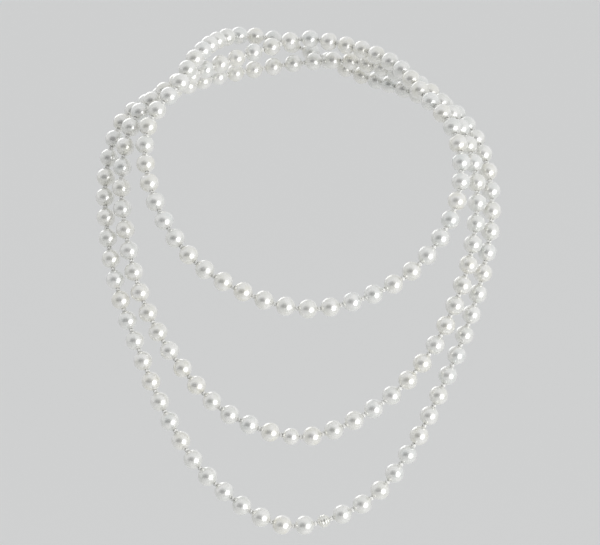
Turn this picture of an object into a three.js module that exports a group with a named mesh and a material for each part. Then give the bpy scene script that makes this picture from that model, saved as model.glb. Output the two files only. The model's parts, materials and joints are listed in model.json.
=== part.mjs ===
// A long endless rope of imitation pearls, wound three times round the neck.
// Millimetres, +Z up. The wearer faces -Y, and the origin is where the strand behind the inner
// loop crosses the middle of the nape.
// The rope is a knotted string: every pearl is held between two knots in the thread.
import * as THREE from "three";

// Sizes
const pearlDiameter = 8;
const smallPearlDiameter = 7; // the one undersized pearl, in the middle loop
const joiningBeadDiameter = 5.6; // the textured bead where the thread's ends are tied off
const knotGap = 1.25; // from one pearl to the next, filled by the knot
const knotDiameter = 1.8;
const threadDiameter = 0.9;
const nodeGap = 0.3; // between the thread of one run and the thread of the next
const sides = 7; // of every ring

// The runs of the rope, one way along it. Each loop hangs as `levels` runs down its left side,
// a lowest run and as many up its right side. `nape` is the pearls in each run behind the neck.
const pearlsPerRun = 3;
const loops = [
  { name: "inner", levels: 5, nape: [4, 4, 3, 4, 4] },
  { name: "middle", levels: 6, nape: [4, 4, 5, 4, 4] },
  { name: "outer", levels: 7, nape: [4, 4, 3, 3, 4, 4] },
];

// The route of the thread, one way round from the inner loop's left shoulder.
// It is drawn for the rope's length at these sizes, and opens or closes as that length changes.
const route = [
  // inner loop, left shoulder to right shoulder
  [-52, -54, -9],
  [-65, -73, -24],
  [-64, -91, -43],
  [-53, -107, -63],
  [-35, -117, -78],
  [2, -123, -89.5],
  [38, -120, -79.5],
  [57, -111, -62.5],
  [66, -95, -43.5],
  [64, -76, -25],
  [51, -54, -13],
  // behind the neck, from the inner loop to the middle one
  [44, -38, -7],
  [33, -22.5, -3],
  [18, -8, -1],
  [0, 0, 0],
  [-17, -6, -3.5],
  [-33, -17, -7],
  [-46, -30, -9.5],
  [-59, -47, -14],
  // middle loop
  [-72, -67, -24],
  [-76, -82, -45.5],
  [-73, -96, -68.5],
  [-65, -109, -93],
  [-50, -121, -115],
  [-29, -131, -133],
  [2, -137, -140],
  [32, -134, -127],
  [52, -125.5, -108.5],
  [65, -113.5, -86],
  [72, -99, -63.5],
  [73, -83, -42],
  [66.5, -64.5, -24.5],
  // behind the neck, from the middle loop to the outer one
  [57, -47, -16],
  [46, -27, -12],
  [32, -10, -10],
  [17, 1.5, -10],
  [0, 6, -12],
  [-17, 4, -14],
  [-34, -4.5, -15.5],
  [-50, -20, -17],
  [-64, -37, -19.5],
  // outer loop
  [-77, -56, -26],
  [-83, -73, -44],
  [-82, -89, -65.5],
  [-76.5, -103.5, -88.5],
  [-67, -117, -111],
  [-55, -129.5, -135],
  [-38, -140, -157],
  [-7, -148, -174.5],
  [26, -145, -165.5],
  [44, -137.5, -146.5],
  [57, -127, -124],
  [68, -114.5, -101.5],
  [76, -101, -78.5],
  [80, -86, -55.5],
  [77, -68, -36.5],
  // behind the neck, crossing outside the other two back to the inner loop
  [67, -46, -24.5],
  [57, -31, -21.5],
  [42, -13, -19],
  [28, 3, -17.5],
  [14, 12.5, -13],
  [0, 15.5, -7],
  [-15, 12.5, -2],
  [-29, 3, 1],
  [-38, -13, 1.5],
  [-43, -29, 0.5],
  [-48, -42, -3],
];

// Where the two odd beads sit
const smallPearlLoop = "middle"; // the first pearl of this loop's lowest run
const joiningBeadLoop = "outer"; // just past this loop's lowest run

// Colours
const pearlWhite = 0xf1efe9;
const beadWhite = 0xe9e7df;

// The rope as a list of runs, each a list of bead diameters
function listRuns() {
  const runs = [];
  const pearls = (count = pearlsPerRun) => new Array(count).fill(pearlDiameter);
  for (const { name, levels, nape } of loops) {
    for (let level = 1; level <= levels; level++) {
      runs.push({ name: `${name}_left_${level}`, beads: pearls() });
    }
    const lowest = pearls();
    if (name === smallPearlLoop) lowest[0] = smallPearlDiameter;
    runs.push({ name: `${name}_lowest`, beads: lowest });
    if (name === joiningBeadLoop) {
      runs.push({ name: "joining_bead", beads: [joiningBeadDiameter], colour: beadWhite });
    }
    for (let level = levels; level >= 1; level--) {
      runs.push({ name: `${name}_right_${level}`, beads: pearls() });
    }
    nape.forEach((count, i) => runs.push({ name: `nape_${name}_${i + 1}`, beads: pearls(count) }));
  }
  return runs;
}

// The closed route at the rope's real length
function makeRoute(ropeLength) {
  const drawn = new THREE.CatmullRomCurve3(
    route.map((point) => new THREE.Vector3(...point)),
    true,
    "centripetal",
  );
  drawn.arcLengthDivisions = 4000;
  const opening = ropeLength / drawn.getLength();
  const fitted = new THREE.CatmullRomCurve3(
    drawn.points.map((point) => point.clone().multiplyScalar(opening)),
    true,
    "centripetal",
  );
  fitted.arcLengthDivisions = drawn.arcLengthDivisions;
  return fitted;
}

// The outline of a run standing on its own thread: the thread's end, then each bead and the knot
// after it. Each point is a radius and a distance along the thread, and keeps the bead it turns with.
const beadRingAngles = [25, 65, 115, 155].map(THREE.MathUtils.degToRad);

function runOutline(beads) {
  const length = beads.reduce((sum, diameter) => sum + diameter + knotGap, 0);
  const knotRadius = knotDiameter / 2;
  const threadRadius = threadDiameter / 2;
  const points = [
    { radius: 0, along: nodeGap / 2 },
    { radius: threadRadius, along: nodeGap / 2 },
  ];
  let start = knotGap / 2;
  for (const diameter of beads) {
    for (const angle of beadRingAngles) {
      points.push({
        radius: (diameter / 2) * Math.sin(angle),
        along: start + (diameter / 2) * (1 - Math.cos(angle)),
        centre: start + diameter / 2,
      });
    }
    start += diameter + knotGap;
    if (start < length) points.push({ radius: knotRadius, along: start - knotGap / 2 });
  }
  points.push({ radius: threadRadius, along: length - nodeGap / 2 });
  points.push({ radius: 0, along: length - nodeGap / 2 });
  return { points, length };
}

// A place on the closed route, as a share of it from 0 to 1
function shareOf(along, ropeLength) {
  return (along / ropeLength + 1) % 1;
}

// A place on the route with three axes: the thread's direction and two across it
function placeOnRoute(path, share, across) {
  const origin = path.getPointAt(share);
  const thread = path.getTangentAt(share);
  const side = across.clone().addScaledVector(thread, -across.dot(thread)).normalize();
  return { origin, thread, side, other: thread.clone().cross(side) };
}

// One run: a straight lathed string of beads, laid along the route. A bead moves as a rigid
// ball, and the thread bends only at the knots.
function makeRun(run, start, path, ropeLength) {
  const { points, length } = runOutline(run.beads);
  const profile = points.map(({ radius, along }) => new THREE.Vector2(radius, along));
  const geometry = new THREE.LatheGeometry(profile, sides);
  const middle = path.getTangentAt(shareOf(start + length / 2, ropeLength));
  const across = new THREE.Vector3(middle.y, middle.z, middle.x).cross(middle);
  const places = points.map(({ along, centre = along }) =>
    placeOnRoute(path, shareOf(start + centre, ropeLength), across),
  );
  const position = geometry.getAttribute("position");
  for (let i = 0; i < position.count; i++) {
    const ring = i % points.length;
    const { along, centre = along } = points[ring];
    const { origin, thread, side, other } = places[ring];
    const vertex = origin
      .clone()
      .addScaledVector(other, position.getX(i))
      .addScaledVector(thread, along - centre)
      .addScaledVector(side, position.getZ(i));
    position.setXYZ(i, vertex.x, vertex.y, vertex.z);
  }
  geometry.deleteAttribute("uv");
  geometry.computeVertexNormals();
  const material = new THREE.MeshStandardMaterial({
    color: run.colour ?? pearlWhite,
    roughness: 0.28,
    metalness: 0,
  });
  const mesh = new THREE.Mesh(geometry, material);
  mesh.name = run.name;
  mesh.userData.bendsAt = [start, start + length].map((end) =>
    path.getPointAt(shareOf(end, ropeLength)).toArray(),
  );
  return { mesh, length };
}

const runs = listRuns();
const ropeLength = runs
  .flatMap((run) => run.beads)
  .reduce((sum, diameter) => sum + diameter + knotGap, 0);
const path = makeRoute(ropeLength);

const necklace = new THREE.Group();
let along = -(pearlDiameter + knotGap) / 2; // the first pearl sits on the route's first point
for (const run of runs) {
  const { mesh, length } = makeRun(run, along, path, ropeLength);
  necklace.add(mesh);
  along += length;
}

export default necklace;
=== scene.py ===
import json
import math
import random
from bisect import bisect_right

import bmesh
import bpy
from mathutils import Matrix, Vector


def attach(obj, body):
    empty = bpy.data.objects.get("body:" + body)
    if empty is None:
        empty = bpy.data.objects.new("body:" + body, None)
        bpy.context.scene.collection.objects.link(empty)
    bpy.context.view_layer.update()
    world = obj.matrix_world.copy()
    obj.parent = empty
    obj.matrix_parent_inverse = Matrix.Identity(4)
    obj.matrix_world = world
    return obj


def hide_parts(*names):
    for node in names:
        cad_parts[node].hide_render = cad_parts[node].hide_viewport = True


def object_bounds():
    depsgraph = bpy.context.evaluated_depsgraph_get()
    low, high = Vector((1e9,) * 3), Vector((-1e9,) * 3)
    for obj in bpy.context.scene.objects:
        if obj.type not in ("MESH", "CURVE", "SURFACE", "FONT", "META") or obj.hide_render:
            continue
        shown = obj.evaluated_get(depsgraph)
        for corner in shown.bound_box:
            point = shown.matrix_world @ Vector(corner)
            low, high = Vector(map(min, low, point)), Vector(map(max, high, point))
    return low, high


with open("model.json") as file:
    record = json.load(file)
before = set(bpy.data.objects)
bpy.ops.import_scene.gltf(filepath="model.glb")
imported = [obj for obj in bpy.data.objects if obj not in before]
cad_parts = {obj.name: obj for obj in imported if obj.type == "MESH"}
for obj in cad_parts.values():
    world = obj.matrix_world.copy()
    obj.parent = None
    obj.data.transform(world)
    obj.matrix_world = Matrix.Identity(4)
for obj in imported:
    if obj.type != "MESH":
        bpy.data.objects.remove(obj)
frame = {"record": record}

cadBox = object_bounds()
bodyOf = {node: body for body, nodes in frame["record"]["behaviour"]["bodies"].items() for node in nodes}


# The rope
# One endless knotted string, wound three times round the neck. Metres.
rope = {
    "pearl": 0.008,
    "smallPearl": 0.007,
    "joiningBead": 0.0056,
    "knotGap": 0.00125,  # bead to bead, filled by the knot
    "smallPearlIn": "middle",  # the loop whose lowest run starts with the small pearl
    "joiningBeadIn": "outer",  # the loop whose lowest run it follows
    "pearlsPerRun": 3,
}
loops = [
    {"name": "inner", "levels": 5, "nape": [4, 4, 3, 4, 4]},
    {"name": "middle", "levels": 6, "nape": [4, 4, 5, 4, 4]},
    {"name": "outer", "levels": 7, "nape": [4, 4, 3, 3, 4, 4]},
]
# The thread's route, one way round. The places at the front of the loops are rounded results of a
# fit made by another program, and those behind the neck were set one by one.
route = [
    # inner loop, left shoulder to right shoulder
    (-0.052, -0.054, -0.009), (-0.065, -0.073, -0.024), (-0.064, -0.091, -0.043),
    (-0.053, -0.107, -0.063), (-0.035, -0.117, -0.078), (0.002, -0.123, -0.0895),
    (0.038, -0.120, -0.0795), (0.057, -0.111, -0.0625), (0.066, -0.095, -0.0435),
    (0.064, -0.076, -0.025), (0.051, -0.054, -0.013),
    # behind the neck, from the inner loop to the middle one
    (0.044, -0.038, -0.007), (0.033, -0.0225, -0.003), (0.018, -0.008, -0.001),
    (0, 0, 0), (-0.017, -0.006, -0.0035), (-0.033, -0.017, -0.007),
    (-0.046, -0.030, -0.0095), (-0.059, -0.047, -0.014),
    # middle loop
    (-0.072, -0.067, -0.024), (-0.076, -0.082, -0.0455), (-0.073, -0.096, -0.0685),
    (-0.065, -0.109, -0.093), (-0.050, -0.121, -0.115), (-0.029, -0.131, -0.133),
    (0.002, -0.137, -0.140), (0.032, -0.134, -0.127), (0.052, -0.1255, -0.1085),
    (0.065, -0.1135, -0.086), (0.072, -0.099, -0.0635), (0.073, -0.083, -0.042),
    (0.0665, -0.0645, -0.0245),
    # behind the neck, from the middle loop to the outer one
    (0.057, -0.047, -0.016), (0.046, -0.027, -0.012), (0.032, -0.010, -0.010),
    (0.017, 0.0015, -0.010), (0, 0.006, -0.012), (-0.017, 0.004, -0.014),
    (-0.034, -0.0045, -0.0155), (-0.050, -0.020, -0.017), (-0.064, -0.037, -0.0195),
    # outer loop
    (-0.077, -0.056, -0.026), (-0.083, -0.073, -0.044), (-0.082, -0.089, -0.0655),
    (-0.0765, -0.1035, -0.0885), (-0.067, -0.117, -0.111), (-0.055, -0.1295, -0.135),
    (-0.038, -0.140, -0.157), (-0.007, -0.148, -0.1745), (0.026, -0.145, -0.1655),
    (0.044, -0.1375, -0.1465), (0.057, -0.127, -0.124), (0.068, -0.1145, -0.1015),
    (0.076, -0.101, -0.0785), (0.080, -0.086, -0.0555), (0.077, -0.068, -0.0365),
    # behind the neck, crossing outside the other two back to the inner loop
    (0.067, -0.046, -0.0245), (0.057, -0.031, -0.0215), (0.042, -0.013, -0.019),
    (0.028, 0.003, -0.0175), (0.014, 0.0125, -0.013), (0, 0.0155, -0.007),
    (-0.015, 0.0125, -0.002), (-0.029, 0.003, 0.001), (-0.038, -0.013, 0.0015),
    (-0.043, -0.029, 0.0005), (-0.048, -0.042, -0.003),
]


def ropeRuns():
    runs = []
    full = rope["pearl"]
    for loop in loops:
        name, levels = loop["name"], range(1, loop["levels"] + 1)
        plain = [full] * rope["pearlsPerRun"]
        runs += [(f"{name}_left_{level}", plain) for level in levels]
        lowest = [rope["smallPearl"]] + plain[1:] if name == rope["smallPearlIn"] else plain
        runs.append((f"{name}_lowest", lowest))
        if name == rope["joiningBeadIn"]:
            runs.append(("joining_bead", [rope["joiningBead"]]))
        runs += [(f"{name}_right_{level}", plain) for level in reversed(levels)]
        runs += [(f"nape_{name}_{i + 1}", [full] * count) for i, count in enumerate(loop["nape"])]
    return runs


def curveThrough(points, stepsEach):
    # a closed centripetal Catmull-Rom curve, as close-set places
    places = []
    count = len(points)
    for i in range(count):
        before, here, there, after = (points[(i + k) % count] for k in (-1, 0, 1, 2))
        gaps = [math.sqrt((b - a).length) for a, b in ((before, here), (here, there), (there, after))]
        leave = (here - before) / gaps[0] - (there - before) / (gaps[0] + gaps[1]) + (there - here) / gaps[1]
        reach = (there - here) / gaps[1] - (after - here) / (gaps[1] + gaps[2]) + (after - there) / gaps[2]
        leave, reach = leave * gaps[1], reach * gaps[1]
        for step in range(stepsEach):
            t = step / stepsEach
            places.append(
                here + leave * t
                + (3 * (there - here) - 2 * leave - reach) * t ** 2
                + (2 * (here - there) + leave + reach) * t ** 3
            )
    return places


class ThreadPath:
    # the closed route at the rope's real length, read by distance along the thread
    def __init__(self, points, length, stepsEach=60):
        drawn = curveThrough([Vector(point) for point in points], stepsEach)
        opening = length / self.measure(drawn)[-1]
        self.places = [place * opening for place in drawn]
        self.distances = self.measure(self.places)
        self.length = self.distances[-1]

    def measure(self, places):
        distances = [0]
        for i, place in enumerate(places):
            distances.append(distances[-1] + (places[(i + 1) % len(places)] - place).length)
        return distances

    def at(self, distance):
        distance %= self.length
        i = min(bisect_right(self.distances, distance), len(self.places)) - 1
        share = (distance - self.distances[i]) / (self.distances[i + 1] - self.distances[i])
        return self.places[i].lerp(self.places[(i + 1) % len(self.places)], share)

    def frameAt(self, distance, reach=0.0005):
        # a place on the thread with Z along it
        along = self.at(distance + reach) - self.at(distance - reach)
        return Matrix.Translation(self.at(distance)) @ along.to_track_quat("Z", "Y").to_matrix().to_4x4()


runs = ropeRuns()
ropeLength = sum(bead + rope["knotGap"] for _, beads in runs for bead in beads)
path = ThreadPath(route, ropeLength)
print(f"rope: {sum(len(beads) for _, beads in runs)} beads, {ropeLength:.4f} m of thread")


# Camera
camera = {
    "elevation": 16,
    "aim": (-0.0008, -0.085, -0.085),
    "distance": 1.0,
    "lens": 141,
    "sensor": 36,
    "clip": (0.05, 100),
}


def makeCamera():
    data = bpy.data.cameras.new("camera")
    data.lens, data.sensor_width = camera["lens"], camera["sensor"]
    data.clip_start, data.clip_end = camera["clip"]
    made = bpy.data.objects.new("camera", data)
    tilt = math.radians(camera["elevation"])
    back = Vector((0, -math.cos(tilt), math.sin(tilt))) * camera["distance"]
    made.location = Vector(camera["aim"]) + back
    made.rotation_euler = (math.radians(90) - tilt, 0, 0)
    bpy.context.scene.collection.objects.link(made)
    bpy.context.scene.camera = made


makeCamera()


# Materials
def linear(hexColour):
    channels = [int(hexColour[i:i + 2], 16) / 255 for i in (0, 2, 4)]
    return [c / 12.92 if c <= 0.04045 else ((c + 0.055) / 1.055) ** 2.4 for c in channels] + [1]


def addNode(tree, kind, values=(), links=(), **settings):
    node = tree.nodes.new("ShaderNode" + kind)
    for name, value in settings.items():
        setattr(node, name, value)
    for socket, value in dict(values).items():
        node.inputs[socket].default_value = value
    for socket, source in dict(links).items():
        tree.links.new(source, node.inputs[socket])
    return node


# The colour sockets of a Mix node
mixBy, mixFrom, mixTo, mixResult = 0, 6, 7, 2


def newMaterial(name, values):
    material = bpy.data.materials.new(name)
    material.use_nodes = True
    shader = material.node_tree.nodes["Principled BSDF"]
    for socket, value in values.items():
        shader.inputs[socket].default_value = value
    return material, material.node_tree, shader


def perMetre(millimetres):
    return 1000 / millimetres  # a pattern's scale from the size of its grain


# Pearl lacquer: mica flakes in clear coats dipped over a white plastic core. The flakes give a
# soft broad gleam under a sharp clear one, and each bead leaves the dip a slightly different white.
nacre = {
    "white": "f4f3f0",
    "cream": "eeece3",
    "cool": "e6e8e6",
    "worn": "cfccc2",  # round the drilled hole, where the coats stop
    "cloudSize": 3.2,  # mm, the drift of colour over one bead
    "rippleSize": 0.9,  # mm, the soft ripple that dipping leaves
    "flakeSize": 0.16,  # mm, drawn coarser than real mica so that it shows
    "roughness": (0.24, 0.34),
}


def makeNacre(name, settings):
    material, tree, shader = newMaterial(name, {
        "IOR": 1.52,
        "Metallic": 0.55,
        "Coat Weight": 1.0,
        "Coat Roughness": 0.09,
        "Coat IOR": 1.5,
        "Sheen Weight": 0.25,
        "Sheen Roughness": 0.35,
    })
    place = addNode(tree, "TexCoord").outputs["Object"]
    tone = addNode(tree, "Attribute", attribute_name="tone").outputs["Fac"]
    drilled = addNode(tree, "Attribute", attribute_name="drilled").outputs["Fac"]
    cloud = addNode(tree, "TexNoise", {"Scale": perMetre(settings["cloudSize"]), "Detail": 2},
                    {"Vector": place})
    drift = addNode(tree, "MapRange", {"From Min": 0.35, "From Max": 0.65},
                    {"Value": cloud.outputs["Fac"]})
    bead = addNode(tree, "Mix", {mixFrom: linear(settings["cream"]), mixTo: linear(settings["cool"])},
                   {mixBy: tone}, data_type="RGBA")
    body = addNode(tree, "Mix", {mixFrom: linear(settings["white"])},
                   {mixBy: drift.outputs["Result"], mixTo: bead.outputs[mixResult]}, data_type="RGBA")
    colour = addNode(tree, "Mix", {mixTo: linear(settings["worn"])},
                     {mixBy: drilled, mixFrom: body.outputs[mixResult]}, data_type="RGBA")
    tree.links.new(colour.outputs[mixResult], shader.inputs["Base Color"])
    flakes = addNode(tree, "TexNoise", {"Scale": perMetre(settings["flakeSize"]), "Detail": 1},
                     {"Vector": place})
    smooth, rough = settings["roughness"]
    gleam = addNode(tree, "MapRange", {"To Min": smooth, "To Max": rough},
                    {"Value": flakes.outputs["Fac"]})
    tree.links.new(gleam.outputs["Result"], shader.inputs["Roughness"])
    ripple = addNode(tree, "TexNoise", {"Scale": perMetre(settings["rippleSize"]), "Detail": 2},
                     {"Vector": place})
    soft = addNode(tree, "Bump", {"Strength": 0.12, "Distance": 0.0001}, {"Height": ripple.outputs["Fac"]})
    fine = addNode(tree, "Bump", {"Strength": 0.03, "Distance": 0.00004},
                   {"Height": flakes.outputs["Fac"], "Normal": soft.outputs["Normal"]})
    tree.links.new(fine.outputs["Normal"], shader.inputs["Normal"])
    tree.links.new(soft.outputs["Normal"], shader.inputs["Coat Normal"])
    return material


# Spun polyester beading thread: matt, with a fine twist that breaks up the light.
thread = {
    "diameter": 0.0009,
    "fibre": "fdfdfa",
    "shade": "f7f6f3",
    "twistSize": 0.28,  # mm from ply to ply
}


def makeThreadMaterial():
    material, tree, shader = newMaterial("spunPolyester", {
        "Roughness": 0.72, "IOR": 1.5, "Sheen Weight": 0.5, "Sheen Roughness": 0.5,
    })
    place = addNode(tree, "TexCoord").outputs["Object"]
    twist = addNode(tree, "TexNoise", {"Scale": perMetre(thread["twistSize"]), "Detail": 3},
                    {"Vector": place})
    colour = addNode(tree, "Mix", {mixFrom: linear(thread["shade"]), mixTo: linear(thread["fibre"])},
                     {mixBy: twist.outputs["Fac"]}, data_type="RGBA")
    tree.links.new(colour.outputs[mixResult], shader.inputs["Base Color"])
    fuzz = addNode(tree, "Bump", {"Strength": 0.35, "Distance": 0.0001}, {"Height": twist.outputs["Fac"]})
    tree.links.new(fuzz.outputs["Normal"], shader.inputs["Normal"])
    return material


dippedNacre = makeNacre("dippedNacre", nacre)
ridgedNacre = makeNacre("ridgedNacre", {**nacre, "white": "e9e9e3", "roughness": (0.2, 0.3)})
spunPolyester = makeThreadMaterial()
print("materials: dipped nacre, ridged nacre, spun polyester")


# Beads
pearl = {
    "sides": 8,  # round the hole, before subdivision
    "arcs": 5,  # from hole to hole
    "shoulder": 0.988,  # the ring round each hole, drawn in so that the bead stays round there
    "holeRadius": 0.00054,
    "lipDepth": 0.00022,
    "firstRing": 1.25,  # how wide the first ring is, against the hole
    "wornRing": 1.2,  # how far out the coats are worn off, against the hole
    "weld": 0.00001,  # vertices nearer than this are one
    "levels": 2,
    "toneSeed": 11,
}
joiningBead = {
    "sides": 12,
    "ridges": 4,
    "ridgeDepth": 0.0003,
    "stepsPerRidge": 4,
    "firstRing": 1.3,
}


def splineShrink(turn):
    return (4 + 2 * math.cos(turn)) / 6  # how far subdivision draws a ring of such turns in


def spinBead(outline, sides):
    # outline: closed, from the lip of one hole over the bead and back through the drilling
    bm = bmesh.new()
    wide = 1 / splineShrink(math.tau / sides)
    ring = [bm.verts.new((radius * wide, 0, height)) for radius, height in outline]
    edges = [bm.edges.new((ring[i - 1], ring[i])) for i in range(len(ring))]
    bmesh.ops.spin(bm, geom=ring + edges, cent=(0, 0, 0), axis=(0, 0, 1), angle=math.tau, steps=sides,
                   use_merge=True)
    bmesh.ops.remove_doubles(bm, verts=bm.verts, dist=pearl["weld"])
    bmesh.ops.recalc_face_normals(bm, faces=bm.faces)
    mesh = bpy.data.meshes.new("bead")
    bm.to_mesh(mesh)
    bm.free()
    return mesh


def drilling(radius, hole):
    # the lip of the hole and the drilled way through, from the far end back
    lip = math.sqrt(radius ** 2 - hole ** 2)
    return [(hole, -lip + pearl["lipDepth"]), (hole, 0), (hole, lip - pearl["lipDepth"])]


def pearlMesh(diameter):
    radius, hole = diameter / 2, pearl["holeRadius"]
    first = math.asin(pearl["firstRing"] * hole / radius)
    turn = (math.pi - 2 * first) / pearl["arcs"]
    reach = radius / splineShrink(turn)
    arc = []
    for i in range(pearl["arcs"] + 1):
        ring = reach * (pearl["shoulder"] if i in (0, pearl["arcs"]) else 1)
        arc.append((ring * math.sin(first + i * turn), ring * math.cos(first + i * turn)))
    return spinBead(arc + drilling(radius, hole), pearl["sides"])


def ridgedMesh(diameter):
    radius, hole = diameter / 2, pearl["holeRadius"]
    first = math.asin(joiningBead["firstRing"] * hole / radius)
    steps = joiningBead["stepsPerRidge"] * joiningBead["ridges"]
    turn = (math.pi - 2 * first) / steps
    reach = radius / splineShrink(turn)
    arc = []
    for i in range(steps + 1):
        groove = 0.5 + 0.5 * math.cos(math.tau * i / joiningBead["stepsPerRidge"])
        ring = reach - joiningBead["ridgeDepth"] * groove
        arc.append((ring * math.sin(first + i * turn), ring * math.cos(first + i * turn)))
    return spinBead(arc + drilling(radius, hole), joiningBead["sides"])


beadMeshes = {
    rope["pearl"]: pearlMesh(rope["pearl"]),
    rope["smallPearl"]: pearlMesh(rope["smallPearl"]),
    rope["joiningBead"]: ridgedMesh(rope["joiningBead"]),
}


# Knots and thread
knot = {
    "turnRadius": 0.00029,  # the trefoil's unit: its lobes reach three of these
    "rise": 0.00036,
    "steps": 18,
    "strand": 0.0004,  # radius of the strand
    "levels": 1,
}


def tubeMesh(points, radius, closed):
    data = bpy.data.curves.new("strand", "CURVE")
    data.dimensions = "3D"
    data.bevel_depth = radius / splineShrink(math.tau / 4)
    data.bevel_resolution = 0  # a square section
    data.use_fill_caps = not closed
    spline = data.splines.new("POLY")
    spline.points.add(len(points) - 1)
    for point, place in zip(spline.points, points):
        point.co = (*place, 1)
    spline.use_cyclic_u = closed
    curve = bpy.data.objects.new("strand", data)
    mesh = bpy.data.meshes.new_from_object(curve)
    bpy.data.objects.remove(curve)
    return mesh


def knotMesh():
    # an overhand knot pulled tight round the thread
    points = []
    for i in range(knot["steps"]):
        turn = math.tau * i / knot["steps"]
        points.append((
            knot["turnRadius"] * (math.sin(turn) + 2 * math.sin(2 * turn)),
            knot["turnRadius"] * (math.cos(turn) - 2 * math.cos(2 * turn)),
            -knot["rise"] * math.sin(3 * turn),
        ))
    return tubeMesh(points, knot["strand"], closed=True)


tiedKnot = knotMesh()


# Pieces
def addCopy(bm, mesh, matrix):
    # appends a copy of the mesh at its place, and returns its new vertices
    before = len(bm.verts)
    bm.from_mesh(mesh)
    bm.verts.ensure_lookup_table()
    made = bm.verts[before:]
    bmesh.ops.transform(bm, matrix=matrix, verts=made)
    return made


def finishPiece(bm, name, material, body, levels):
    bmesh.ops.recalc_face_normals(bm, faces=bm.faces)
    mesh = bpy.data.meshes.new(name)
    bm.to_mesh(mesh)
    bm.free()
    mesh.shade_smooth()
    mesh.materials.append(material)
    piece = bpy.data.objects.new(name, mesh)
    bpy.context.scene.collection.objects.link(piece)
    subdivision = piece.modifiers.new("round", "SUBSURF")
    subdivision.levels = subdivision.render_levels = levels
    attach(piece, body)
    return piece


def makeBeads(name, beads, start, material, tones):
    bm = bmesh.new()
    tone = bm.verts.layers.float.new("tone")
    drilled = bm.verts.layers.float.new("drilled")
    for diameter in beads:
        centre = start + diameter / 2
        shade = tones.random()
        roll = Matrix.Rotation(tones.uniform(0, math.tau), 4, "Z")
        place = path.frameAt(centre) @ roll
        middle = place.translation
        along = place.to_3x3() @ Vector((0, 0, 1))
        for vert in addCopy(bm, beadMeshes[diameter], place):
            offset = vert.co - middle
            across = (offset - along * offset.dot(along)).length
            vert[tone] = shade
            vert[drilled] = 1 if across < pearl["wornRing"] * pearl["holeRadius"] else 0
        start += diameter + rope["knotGap"]
    piece = finishPiece(bm, name + "_beads", material, bodyOf[name], pearl["levels"])
    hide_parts(name)


def makeThread(name, beads, start):
    # the thread through the run's beads, with the knot that holds each of them
    bm = bmesh.new()
    points = [path.at(start - rope["knotGap"] / 2)]
    for diameter in beads:
        place = path.frameAt(start + diameter / 2)
        points += [place @ Vector((0, 0, reach * diameter)) for reach in (-0.5, 0, 0.5)]
        start += diameter + rope["knotGap"]
        knotAt = start - rope["knotGap"] / 2
        points.append(path.at(knotAt))
        addCopy(bm, tiedKnot, path.frameAt(knotAt))
    bm.from_mesh(tubeMesh(points, thread["diameter"] / 2, closed=False))
    finishPiece(bm, name + "_thread", spunPolyester, bodyOf[name], knot["levels"])


def strandAllRuns():
    tones = random.Random(pearl["toneSeed"])
    start = -rope["pearl"] / 2  # the first pearl sits on the route's first point
    for name, beads in runs:
        joining = name == "joining_bead"
        makeBeads(name, beads, start, ridgedNacre if joining else dippedNacre,
                  tones)
        makeThread(name, beads, start)
        start += sum(bead + rope["knotGap"] for bead in beads)


strandAllRuns()
print(f"pieces: {2 * len(runs)}, a bead piece and a thread piece for each run")


# Floor and light
studio = {
    "floor": "ebebea",
    "floorBelow": 0.9,
    "floorSize": 60,
    "sky": "e2e3e4",
    "skyStrength": (1.06, 0.1),  # round the sides and back of the set, and in the dark of the room
    "room": (-0.28, -0.96, 0.0),  # the way to the dark of the room, past the camera
    "roomEdge": (0.45, 0.95),  # how near that way the light starts and ends its fall
}
lamps = [
    # name, place, aim, size, watts
    ("key", (0.72, -1.0, -0.12), (0, -0.10, -0.09), 1.0, 7),
    ("back", (-0.45, 0.95, 0.4), (0, -0.06, -0.05), 0.8, 1.7),
]


def makeFloor():
    bm = bmesh.new()
    bmesh.ops.create_grid(bm, x_segments=1, y_segments=1, size=studio["floorSize"] / 2)
    bmesh.ops.translate(bm, verts=bm.verts, vec=(0, 0, cadBox[0].z - studio["floorBelow"]))
    mesh = bpy.data.meshes.new("floor")
    bm.to_mesh(mesh)
    bm.free()
    values = {"Base Color": linear(studio["floor"]), "Roughness": 0.9}
    mesh.materials.append(newMaterial("matPaper", values)[0])
    floor = bpy.data.objects.new("floor", mesh)
    bpy.context.scene.collection.objects.link(floor)


def makeSky():
    world = bpy.data.worlds.new("studio")
    world.use_nodes = True
    tree = world.node_tree
    background = tree.nodes["Background"]
    background.inputs["Color"].default_value = linear(studio["sky"])
    way = addNode(tree, "TexCoord").outputs["Generated"]
    near = addNode(tree, "VectorMath", {1: studio["room"]}, {0: way}, operation="DOT_PRODUCT")
    edge, deep = studio["roomEdge"]
    bright, dark = studio["skyStrength"]
    fall = addNode(tree, "MapRange",
                   {"From Min": edge, "From Max": deep, "To Min": bright, "To Max": dark},
                   {"Value": near.outputs["Value"]}, interpolation_type="SMOOTHSTEP")
    tree.links.new(fall.outputs["Result"], background.inputs["Strength"])
    bpy.context.scene.world = world


def makeLamps():
    for name, place, aim, size, watts in lamps:
        data = bpy.data.lights.new(name, "AREA")
        data.shape, data.size, data.energy = "DISK", size, watts
        lamp = bpy.data.objects.new(name, data)
        lamp.location = place
        lamp.visible_camera = False
        lamp.rotation_euler = (Vector(aim) - Vector(place)).to_track_quat("-Z", "Y").to_euler()
        bpy.context.scene.collection.objects.link(lamp)


makeFloor()
makeSky()
makeLamps()
bpy.context.scene.view_settings.view_transform = "Standard"
print("studio: floor and", len(lamps), "lamps")

# The shapes that were only copied from go
for data in list(bpy.data.meshes) + list(bpy.data.curves):
    if not data.users:
        (bpy.data.meshes if isinstance(data, bpy.types.Mesh) else bpy.data.curves).remove(data)

bpy.context.view_layer.update()
